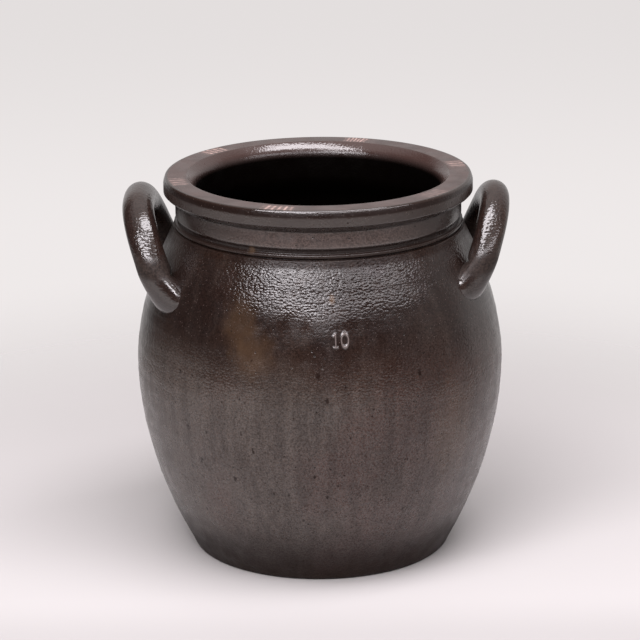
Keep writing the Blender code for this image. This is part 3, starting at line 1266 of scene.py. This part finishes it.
@dataclass
class CrockBody:
    """The thrown pot, with the marks that the wheel, the hand and the kiln left on it."""

    profile: PotProfile
    glaze: PotGlaze
    mark: CapacityMark = CapacityMark()
    columns: int = 300
    mark_columns: int = 56
    mark_half_width: float = 0.0095
    mark_half_height: float = 0.0072
    spacing: float = 0.0021
    mark_spacing: float = 0.00035
    inward: float = 0.00035
    ring_depth: float = 0.00006
    rings: tuple[ThrowingRing, ...] = (
        ThrowingRing(0.0125, 1.0),
        ThrowingRing(0.0078, 0.7),
        ThrowingRing(0.0043, 0.45),
    )
    lump_depth: float = 0.00013
    lump_count: int = 14
    lump_spread: float = 3.2
    neck_share: float = 0.25
    line_drift: float = 0.0004
    turning_lines: tuple[TurningLine, ...] = (
        TurningLine(0.2438, 0.00016, 0.0009, 0.3),
        TurningLine(0.2242, 0.00022, 0.0010, 1.1),
        TurningLine(0.2203, 0.00018, 0.0008, 2.0),
        TurningLine(0.2150, 0.00012, 0.0009, 4.0),
    )
    front_flat: float = 0.0018
    seed: int = 7

    def azimuths(self) -> np.ndarray:
        """Azimuth of each column of the mesh, closer together at the mark.

        Returns:
            Angles in radians.
        """
        middle = math.radians(self.mark.azimuth)
        half = self.mark_half_width / self.mark.reach
        fine = np.linspace(middle - half, middle + half, self.mark_columns)
        coarse = np.linspace(middle + half, middle - half + math.tau, self.columns - self.mark_columns)
        return np.concatenate([fine, coarse[1:-1]])

    def rows(self) -> tuple[np.ndarray, np.ndarray]:
        """Rows of the mesh, closer together at the mark.

        Returns:
            Radius and height of each row, and the zone of each row.
        """
        pot = self.profile
        lines = {
            Zone.UNDERSIDE: pot.underside(),
            Zone.OUTSIDE: self.with_fine_rows(pot.outside(self.spacing)[1:]),
            Zone.RIM_TOP: pot.rim_top(),
            Zone.INSIDE: pot.inside(),
        }
        points = np.array([point for line in lines.values() for point in line])
        zones = np.array([float(zone.value) for zone, line in lines.items() for _ in line])
        return points, zones

    def with_fine_rows(self, line: list[Pair]) -> list[Pair]:
        """Swap the rows beside the mark for closer ones.

        Args:
            line: Points of the outside, as radius and height.

        Returns:
            The line with its closer rows.
        """
        low = self.mark.height - self.mark_half_height
        high = self.mark.height + self.mark_half_height
        heights = np.arange(low, high, self.mark_spacing)
        fine = [(self.profile.wall_radius(float(z)), float(z)) for z in heights]
        below = [point for point in line if point[1] < low]
        return below + fine + [point for point in line if point[1] >= high]

    def relief(self, azimuth: np.ndarray, height: np.ndarray, zone: np.ndarray) -> np.ndarray:
        """How far the skin stands out from the even profile, without the mark.

        Args:
            azimuth: Azimuth of each point.
            height: Height of each point.
            zone: Zone of each point.

        Returns:
            Distance along the outward direction.
        """
        rng = np.random.default_rng(self.seed)
        rings = np.zeros_like(height)
        for ring in self.rings:
            phase = rng.uniform(0.0, math.tau)
            climb = azimuth + 0.35 * np.sin(azimuth + phase)
            fade = 0.6 + 0.4 * np.sin(2.0 * azimuth + phase)
            rings += ring.share * fade * np.sin(math.tau * height / ring.wavelength + climb + phase)
        lumps = np.zeros_like(height)
        for _ in range(self.lump_count):
            turns = rng.integers(2, 13)
            wavelength = rng.uniform(0.03, 0.11)
            phase = rng.uniform(0.0, math.tau, 2)
            lumps += np.sin(turns * azimuth + phase[0]) * np.sin(math.tau * height / wavelength + phase[1])
        lumps /= self.lump_spread
        shoulder = self.profile.shoulder_height
        neck = soft_step(height, shoulder - 0.002, shoulder + 0.002)
        wall = np.where(zone == Zone.OUTSIDE.value, 1.0, 0.0) * soft_step(height, 0.001, 0.008)
        wall = wall * (1.0 - (1.0 - self.neck_share) * neck)
        out = wall * (self.ring_depth * rings + self.lump_depth * lumps - self.inward)
        for line in self.turning_lines:
            sway = np.sin(azimuth + line.phase)
            groove = np.exp(-(((height - line.height - self.line_drift * sway) / line.width) ** 2))
            out -= wall * line.depth * (0.55 + 0.45 * sway) * groove
        return out

    def flattened(self, azimuth: np.ndarray, height: np.ndarray) -> np.ndarray:
        """How far the front of the neck and rim was pushed in while the clay was soft.

        Args:
            azimuth: Azimuth of each point.
            height: Height of each point.

        Returns:
            Distance towards the axis.
        """
        shoulder = self.profile.shoulder_height
        top = soft_step(height, shoulder + 0.008, shoulder + 0.022)
        return self.front_flat * top * np.clip(np.cos(azimuth), 0.0, 1.0) ** 2

    def crest(self, azimuth: np.ndarray, height: np.ndarray, zone: np.ndarray) -> np.ndarray:
        """How much of the number's height stands at each point of the skin.

        Args:
            azimuth: Azimuth of each point.
            height: Height of each point.
            zone: Zone of each point.

        Returns:
            Share of the number's height.
        """
        turn = (azimuth - math.radians(self.mark.azimuth) + math.pi) % math.tau - math.pi
        up = height - self.mark.height
        radial, _ = self.profile.wall_normal(self.mark.height)
        near = (np.abs(turn) < 0.12) & (np.abs(up) < 0.012) & (zone == Zone.OUTSIDE.value)
        return np.where(near, self.mark.crest(turn * self.mark.reach, up / radial), 0.0)

    def build(self) -> Object:
        """Build and dress the pot.

        Returns:
            The pot.
        """
        rows, zones = self.rows()
        azimuth, even = np.meshgrid(self.azimuths(), rows[:, 1])
        zone = np.repeat(zones[:, None], azimuth.shape[1], axis=1)
        crest = self.crest(azimuth, even, zone)
        out = self.relief(azimuth, even, zone) + self.mark.rise * crest
        heights = np.clip(rows[:, 1], 0.002, self.profile.shoulder_height)
        normals = np.array([self.profile.wall_normal(float(z)) for z in heights])
        inward = np.where(zone > Zone.UNDERSIDE.value, self.flattened(azimuth, even), 0.0)
        radius = rows[:, :1] + out * normals[:, :1] - inward
        height = even + out * normals[:, 1:]
        points = np.stack([radius * np.sin(azimuth), -radius * np.cos(azimuth), height], axis=-1)
        obj = add_mesh("crock_body_skin", points, grid_faces(*azimuth.shape), self.glaze.material())
        for name, values in {"zone": zone, "crest": crest}.items():
            layer = obj.data.attributes.new(name, "FLOAT", "POINT")
            layer.data.foreach_set("value", values.reshape(-1).astype(np.float32))
        close_poles(obj, azimuth.shape[1])
        tie_to_frame(obj, "pot_glaze", "crock_body")
        return obj


def close_poles(obj: Object, around: int) -> None:
    """Melt the first and last row of a turned mesh into one point each.

    Args:
        obj: The turned mesh.
        around: Number of points in a row.
    """
    bm = bmesh.new()
    bm.from_mesh(obj.data)
    bm.verts.ensure_lookup_table()
    for ring in (bm.verts[:around], bm.verts[-around:]):
        bmesh.ops.pointmerge(bm, verts=ring, merge_co=sum((v.co for v in ring), Vector()) / around)
    bm.to_mesh(obj.data)
    bm.free()


# The handles


@dataclass
class LoopHandle:
    """A coil of clay bent into a loop, and the two pads that its ends are pressed into."""

    side: Side
    pot: PotProfile
    coil_glaze: Material
    pad_glaze: Material
    stand_off: float
    rise: float
    coil_radius: float
    foot_share: float
    foot_angle: float
    lean_power: float
    arch_power: float
    pad_rise: float = 0.0205
    pad_half_width: float = 0.0152
    pad_front_width: float = 0.0205
    front_edge: float = 0.0026
    pad_down: float = 0.0128
    pad_up: float = 0.0150
    pad_edge: float = 0.0042
    pad_shank: float = 0.0085
    sunk: float = 0.0010
    flat_start: float = 0.40
    flat_press: float = 0.60
    flat_share: float = 0.14
    settle_share: float = 0.22
    hand_inset: float = 0.00022
    hand_depth: float = 0.00009
    hand_fade: float = 12.0
    lean_in: float = 0.45
    around: int = 64
    coil_steps: int = 120
    pad_steps: int = 26
    samples: int = 480
    seed: int = 3

    @property
    def name(self) -> str:
        """Name of the handle's solid."""
        return f"handle_{self.side.name.lower()}"

    @property
    def foot_height(self) -> float:
        """Height of the middle of the feet."""
        return self.pot.belly_height + (self.pot.shoulder_height - self.pot.belly_height) * self.foot_share

    def centre(self, turn: float) -> Vector:
        """Point on the centreline.

        Args:
            turn: Share of the way from the front foot to the rear foot.

        Returns:
            The point.
        """
        angle = math.pi * turn
        rise = math.sin(angle)
        foot_r = self.pot.wall_radius(self.foot_height)
        foot_x = foot_r * math.cos(self.foot_angle)
        foot_y = foot_r * math.sin(self.foot_angle)
        reach = self.pot.rim_radius + self.stand_off + self.coil_radius
        along = math.cos(angle)
        x = foot_x + (reach - foot_x) * rise**self.lean_power
        y = -math.copysign(foot_y * abs(along) ** self.arch_power, along)
        return Vector((self.side.value * x, y, self.foot_height + self.rise * rise))

    def centreline(self) -> list[Vector]:
        """Space points evenly along the coil, between the tops of its two pads.

        Returns:
            The points, front to rear.
        """
        samples = [self.centre(k / self.samples) for k in range(self.samples + 1)]
        lengths = np.concatenate([[0.0], np.cumsum([(b - a).length for a, b in zip(samples, samples[1:])])])
        targets = np.linspace(self.pad_rise, lengths[-1] - self.pad_rise, self.coil_steps + 1)
        coords = np.array(samples)
        return [Vector(tuple(np.interp(t, lengths, coords[:, k]) for k in range(3))) for t in targets]

    def on_shoulder(self, end: End, across: float, up: float, lift: float) -> Vector:
        """Point over the shoulder, measured along its surface from a foot's middle.

        Args:
            end: Which foot.
            across: Distance round the pot, away from the loop.
            up: Distance up the shoulder.
            lift: Height over the surface.

        Returns:
            The point.
        """
        _, tilt = self.pot.wall_normal(self.foot_height)
        z = self.foot_height + up * math.sqrt(1.0 - tilt**2)
        angle = self.foot_angle + across / self.pot.wall_radius(self.foot_height)
        radial, vertical = self.pot.wall_normal(z)
        r = self.pot.wall_radius(z) + lift * radial
        x, y = r * math.cos(angle), r * math.sin(angle)
        return Vector((self.side.value * x, end.value * y, z + lift * vertical))

    def pad_rings(self, end: End, line: list[Vector]) -> list[list[Vector]]:
        """Rings of a pad, from the coil's end down into the shoulder.

        Args:
            end: Which foot.
            line: Centreline of the coil.

        Returns:
            The rings, top to bottom.
        """
        top, inward = (line[0], line[1]) if end is End.FRONT else (line[-1], line[-2])
        axis = (inward - top).normalized()
        middle = self.on_shoulder(end, 0.0, 0.0, 0.0)
        seats, outline = [], []
        for k in range(self.around):
            angle = math.tau * k / self.around
            up, across = math.sin(angle), math.cos(angle)
            up *= self.pad_up if up > 0.0 else self.pad_down
            across *= self.pad_front_width if across > 0.0 else self.pad_half_width
            spoke = self.on_shoulder(end, across, up, 0.0) - middle
            spoke = (spoke - axis * spoke.dot(axis)).normalized()
            seats.append(top + spoke * self.coil_radius)
            outline.append((across, up))
        rings = []
        for step in range(self.pad_steps + 1):
            t = step / self.pad_steps
            a, b = (1.0 - t) ** 3, 3.0 * t * (1.0 - t) ** 2
            c, d = 3.0 * t**2 * (1.0 - t), t**3
            ring = []
            for (across, up), seat in zip(outline, seats):
                front = max(0.0, across / self.pad_front_width)
                lift = self.pad_edge + (self.front_edge - self.pad_edge) * front
                low = self.on_shoulder(end, across, up, -self.sunk)
                edge = self.on_shoulder(end, across, up, lift)
                ring.append(seat * a + (seat - axis * self.pad_shank) * b + edge * c + low * d)
            rings.append(ring)
        return rings

    def coil_rings(self, line: list[Vector], front: list[Vector], rear: list[Vector]) -> list[list[Vector]]:
        """Rings of the coil between its two pads.

        Args:
            line: Centreline of the coil.
            front: Top ring of the front pad.
            rear: Top ring of the rear pad.

        Returns:
            The rings, front to rear.
        """
        rng = np.random.default_rng(self.seed)
        phases = rng.uniform(0.0, math.tau, 6)
        start = self.ring_angles(line, 0, front)
        stop = self.ring_angles(line, len(line) - 1, rear)
        turn = math.copysign(math.tau, start[1] - start[0])
        even = np.linspace(start[0], start[0] + turn, self.around, endpoint=False)
        rings = []
        for i, centre in enumerate(line):
            share = i / self.coil_steps
            ends = smooth(np.maximum(0.0, 1.0 - np.array([share, 1.0 - share]) / self.settle_share))
            angles = even + (start - even) * ends[0] + (stop - even) * ends[1]
            e1, e2 = self.ring_axes(line, i)
            calm = min(1.0, self.hand_fade * share, self.hand_fade * (1.0 - share))
            wave = np.sin(angles * 2.0 + phases[0] + 3.0 * share)
            wave = wave + 0.7 * np.sin(angles * 3.0 + phases[1] + 9.0 * share)
            wave = wave + 0.8 * math.sin(17.0 * share + phases[2])
            radii = self.coil_radius + calm * (self.hand_depth * wave - self.hand_inset)
            pressed = self.thumb_flat(share)
            away = -float(self.side.value)
            ring = []
            for a, r in zip(angles, radii):
                proud = max(0.0, away * math.cos(a) - self.flat_start)
                ring.append(centre + (e1 * (math.cos(a) - away * pressed * proud**2) + e2 * math.sin(a)) * r)
            rings.append(ring)
        return rings

    def thumb_flat(self, share: float) -> float:
        """How strongly a thumb flattened the front of the coil.

        Args:
            share: Share of the coil's length.

        Returns:
            The strength.
        """
        rise = min(1.0, max(0.0, share / self.flat_share))
        fall = min(1.0, max(0.0, (self.flat_share * 3.0 - share) / (self.flat_share * 2.0)))
        return self.flat_press * smooth(rise) * smooth(fall)

    def ring_axes(self, line: list[Vector], i: int) -> tuple[Vector, Vector]:
        """Directions square to the coil: away from the loop's middle, and towards the pot.

        Args:
            line: Centreline of the coil.
            i: Number of the point on it.

        Returns:
            The two directions.
        """
        tangent = (line[min(i + 1, len(line) - 1)] - line[max(i - 1, 0)]).normalized()
        inward = Vector((-self.side.value, 0.0, self.lean_in))
        towards = (inward - tangent * inward.dot(tangent)).normalized()
        return towards.cross(tangent), towards

    def ring_angles(self, line: list[Vector], i: int, ring: list[Vector]) -> np.ndarray:
        """Angles of a ring's points round the coil.

        Args:
            line: Centreline of the coil.
            i: Number of the point that the ring is around.
            ring: The ring's points.

        Returns:
            Angles in radians, without jumps.
        """
        e1, e2 = self.ring_axes(line, i)
        spokes = [point - line[i] for point in ring]
        return np.unwrap([math.atan2(spoke.dot(e2), spoke.dot(e1)) for spoke in spokes])

    def build(self) -> list[Object]:
        """Build and dress the coil and its pads as three pieces with one unbroken skin.

        Returns:
            The coil, the front pad and the rear pad.
        """
        line = self.centreline()
        front = self.pad_rings(End.FRONT, line)
        rear = self.pad_rings(End.REAR, line)
        coil = self.coil_rings(line, front[0], rear[0])
        rings = front[::-1] + coil[1:-1] + rear
        points = np.array([[tuple(point) for point in ring] for ring in rings])
        faces = grid_faces(len(rings), self.around)
        flat = points.reshape(-1, 3)
        if mean_outward(flat, faces.reshape(-1, 4), points.mean(axis=1), self.around) < 0.0:
            faces = faces[..., ::-1]
        normals = vertex_normals(flat, faces.reshape(-1, 4))
        cut_front = len(front) - 1
        cut_rear = len(front) + len(coil) - 2
        spans = [("coil", "", cut_front, cut_rear), ("front_foot", "_front_pad", 0, cut_front)]
        spans.append(("rear_foot", "_rear_pad", cut_rear, len(rings) - 1))
        made = []
        for part, node, start, stop in spans:
            glaze, slot = (self.pad_glaze, "pad_glaze") if node else (self.coil_glaze, "handle_glaze")
            first, last = start * self.around, (stop + 1) * self.around
            obj = add_mesh(f"{self.name}_{part}", flat[first:last], faces[start:stop] - first, glaze)
            obj.data.normals_split_custom_set_from_vertices(normals[first:last].tolist())
            tie_to_frame(obj, slot, self.name + node)
            made.append(obj)
        return made


def vertex_normals(points: np.ndarray, faces: np.ndarray) -> np.ndarray:
    """Smooth normals of a mesh.

    Args:
        points: Array of points.
        faces: Array of four-sided faces.

    Returns:
        One unit vector for each point.
    """
    diagonal_a = points[faces[:, 2]] - points[faces[:, 0]]
    diagonal_b = points[faces[:, 3]] - points[faces[:, 1]]
    face_normals = np.cross(diagonal_a, diagonal_b)
    normals = np.zeros_like(points)
    for corner in range(4):
        np.add.at(normals, faces[:, corner], face_normals)
    return normals / np.linalg.norm(normals, axis=1, keepdims=True)


def mean_outward(points: np.ndarray, faces: np.ndarray, centres: np.ndarray, around: int) -> float:
    """Tell whether a tube's faces point away from its middle.

    Args:
        points: Array of points, ring by ring.
        faces: Array of four-sided faces.
        centres: Middle of each ring.
        around: Number of points in a ring.

    Returns:
        A number above zero where the faces point outwards.
    """
    normals = vertex_normals(points, faces)
    spokes = points - np.repeat(centres, around, axis=0)
    return float((normals * spokes).sum(axis=1).mean())


# The studio


@dataclass(frozen=True)
class SoftBox:
    """A rectangular lamp that faces the crock; its direction is in degrees, round the pot and up."""

    name: str
    azimuth: float
    elevation: float
    width: float
    height: float
    power: float
    spin: float = 0.0
    distance: float = 1.5
    colour: Colour = (1.0, 0.955, 0.995)
    aim_height: float = 0.16

    def hang(self) -> Object:
        """Put the lamp into the scene.

        Returns:
            The lamp.
        """
        turn, rise = math.radians(self.azimuth), math.radians(self.elevation)
        away = Vector((math.sin(turn) * math.cos(rise), -math.cos(turn) * math.cos(rise), math.sin(rise)))
        data = bpy.data.lights.new(self.name, "AREA")
        data.shape = "RECTANGLE"
        data.size = self.width
        data.size_y = self.height
        data.energy = self.power
        data.color = self.colour
        lamp = bpy.data.objects.new(self.name, data)
        lamp.location = Vector((0.0, 0.0, self.aim_height)) + away * self.distance
        facing = (-away).to_track_quat("-Z", "Y").to_matrix()
        lamp.rotation_euler = (facing @ Matrix.Rotation(math.radians(self.spin), 3, "Z")).to_euler()
        bpy.context.scene.collection.objects.link(lamp)
        return lamp


@dataclass
class Studio:
    """Floor, lamps, surroundings and camera."""

    floor_finish: StudioFloor
    floor_radius: float = 9.0
    floor_columns: int = 96
    lamps: tuple[SoftBox, ...] = (
        SoftBox("overhead_softbox", 8.0, 74.0, width=1.55, height=0.56, power=26.0, spin=18.0),
        SoftBox("front_softbox", -24.0, 35.5, width=1.05, height=0.26, power=11.8),
        SoftBox("front_bank", 34.0, 34.5, width=1.9, height=0.28, power=7.6),
    )
    camera_distance: float = 2.2620
    camera_elevation: float = 17.05
    camera_roll: float = -0.5894
    camera_aim: float = 0.1702
    camera_lens: float = 170.07
    camera_shift: float = 0.00084
    tint: Colour = (1.0, 0.955, 0.95)
    ambient: float = 0.40
    rear_wall: Step = Step(0.35, 0.78, 0.0, 0.58)
    rear_turn: float = 0.35
    right_wall: Step = Step(0.55, 1.0, 0.04, 0.28)
    ceiling: Step = Step(0.5, 0.85, 0.0, 0.75)
    ceiling_sides: Step = Step(0.3, 0.9, 1.0, 0.40)
    ground: Step = Step(0.0, -0.28)
    ground_sides: Step = Step(-0.3, 0.8, 0.35, 1.15)
    ground_turn: float = -0.25
    backdrop: Step = Step(-0.19, -0.27, 0.77, 0.86)

    def floor(self) -> Object:
        """Lay the round floor.

        Returns:
            The floor.
        """
        radii = np.concatenate([[0.0], np.geomspace(0.2, self.floor_radius, 10)])
        turns = np.linspace(0.0, math.tau, self.floor_columns, endpoint=False)
        points = np.array([(r * math.cos(a), r * math.sin(a), 0.0) for r in radii for a in turns])
        faces = grid_faces(len(radii), self.floor_columns)[..., ::-1]
        obj = add_mesh("studio_floor", points, faces, self.floor_finish.material())
        return obj

    def surroundings(self) -> None:
        """Make the world: pale to the camera, and a dim studio with a bright rear wall to glossy surfaces."""
        world = bpy.data.worlds.new("studio_surroundings")
        world.use_nodes = True
        bpy.context.scene.world = world
        bench = NodeBench(world.node_tree)
        x, y, z = bench.filled("TexCoord", "Generated", {}).parts()
        walls = (y + x * self.rear_turn).step(self.rear_wall).larger(x.step(self.right_wall))
        ceiling = z.step(self.ceiling) * abs(x).step(self.ceiling_sides)
        ground = z.step(self.ground) * (y * -1.0 + x * self.ground_turn).step(self.ground_sides)
        seen = walls.larger(ceiling).larger(ground)
        ways = bench.node("LightPath").outputs
        glossy, camera = (Value(bench, ways[f"Is {kind} Ray"]) for kind in ("Glossy", "Camera"))
        level = camera.choose(glossy.choose(self.ambient, seen), z.step(self.backdrop))
        bench.node("OutputWorld", bench.out("Background", self.tint, level))

    def camera(self) -> Object:
        """Set the camera up at the photograph's angle.

        Returns:
            The camera.
        """
        tilt, roll = math.radians(self.camera_elevation), math.radians(self.camera_roll)
        forward = Vector((0.0, math.cos(tilt), -math.sin(tilt)))
        right = Vector((1.0, 0.0, 0.0))
        up = right.cross(forward)
        rolled_right = right * math.cos(roll) + up * math.sin(roll)
        rolled_up = up * math.cos(roll) - right * math.sin(roll)
        data = bpy.data.cameras.new("photo_camera")
        data.lens = self.camera_lens
        data.sensor_width = 36.0
        data.shift_x = self.camera_shift
        data.clip_end = 60.0
        camera = bpy.data.objects.new("photo_camera", data)
        matrix = Matrix((rolled_right, rolled_up, -forward)).transposed().to_4x4()
        matrix.translation = Vector((0.0, 0.0, self.camera_aim)) - forward * self.camera_distance
        camera.matrix_world = matrix
        bpy.context.scene.collection.objects.link(camera)
        bpy.context.scene.camera = camera
        return camera

    def build(self) -> None:
        """Set the whole studio up."""
        bpy.context.scene.view_settings.view_transform = "Standard"
        self.surroundings()
        for lamp in self.lamps:
            lamp.hang()
        self.camera()
        self.floor()


def main() -> None:
    """Build the studio, the pot and its handles."""
    logging.basicConfig(level=logging.INFO, format="%(name)s: %(message)s")
    Studio(StudioFloor()).build()
    LOG.info("studio set up")
    low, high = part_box("crock_body")
    pot = PotProfile(height=high.z - low.z, belly_radius=(high.x - low.x) / 2.0)
    body = CrockBody(pot, PotGlaze("pot_glaze_skin")).build()
    LOG.info("%s has %d faces", body.name, len(body.data.polygons))
    glazes = (
        HandleGlaze(
            "handle_glaze_skin", roughness=0.125, peel_size=0.0022, peel_depth=0.00017, grain_depth=0.00006
        ).material(),
        HandleGlaze(
            "pad_glaze_skin",
            roughness=0.11,
            peel_size=0.0024,
            peel_depth=0.00010,
            grain_depth=0.00004,
            dull_end=Step(0.217, 0.226),
        ).material(),
    )
    handles = (
        LoopHandle(
            Side.LEFT,
            pot,
            *glazes,
            stand_off=0.0062,
            rise=0.0558,
            coil_radius=0.0120,
            foot_share=0.603,
            foot_angle=math.radians(26.0),
            lean_power=0.85,
            arch_power=0.70,
            seed=3,
        ),
        LoopHandle(
            Side.RIGHT,
            pot,
            *glazes,
            stand_off=0.0050,
            rise=0.0516,
            coil_radius=0.0110,
            foot_share=0.663,
            foot_angle=math.radians(23.5),
            lean_power=0.83,
            arch_power=1.00,
            flat_share=0.20,
            seed=5,
        ),
    )
    for handle in handles:
        for piece in handle.build():
            LOG.info("%s has %d faces", piece.name, len(piece.data.polygons))


if __name__ == "__main__":
    main()
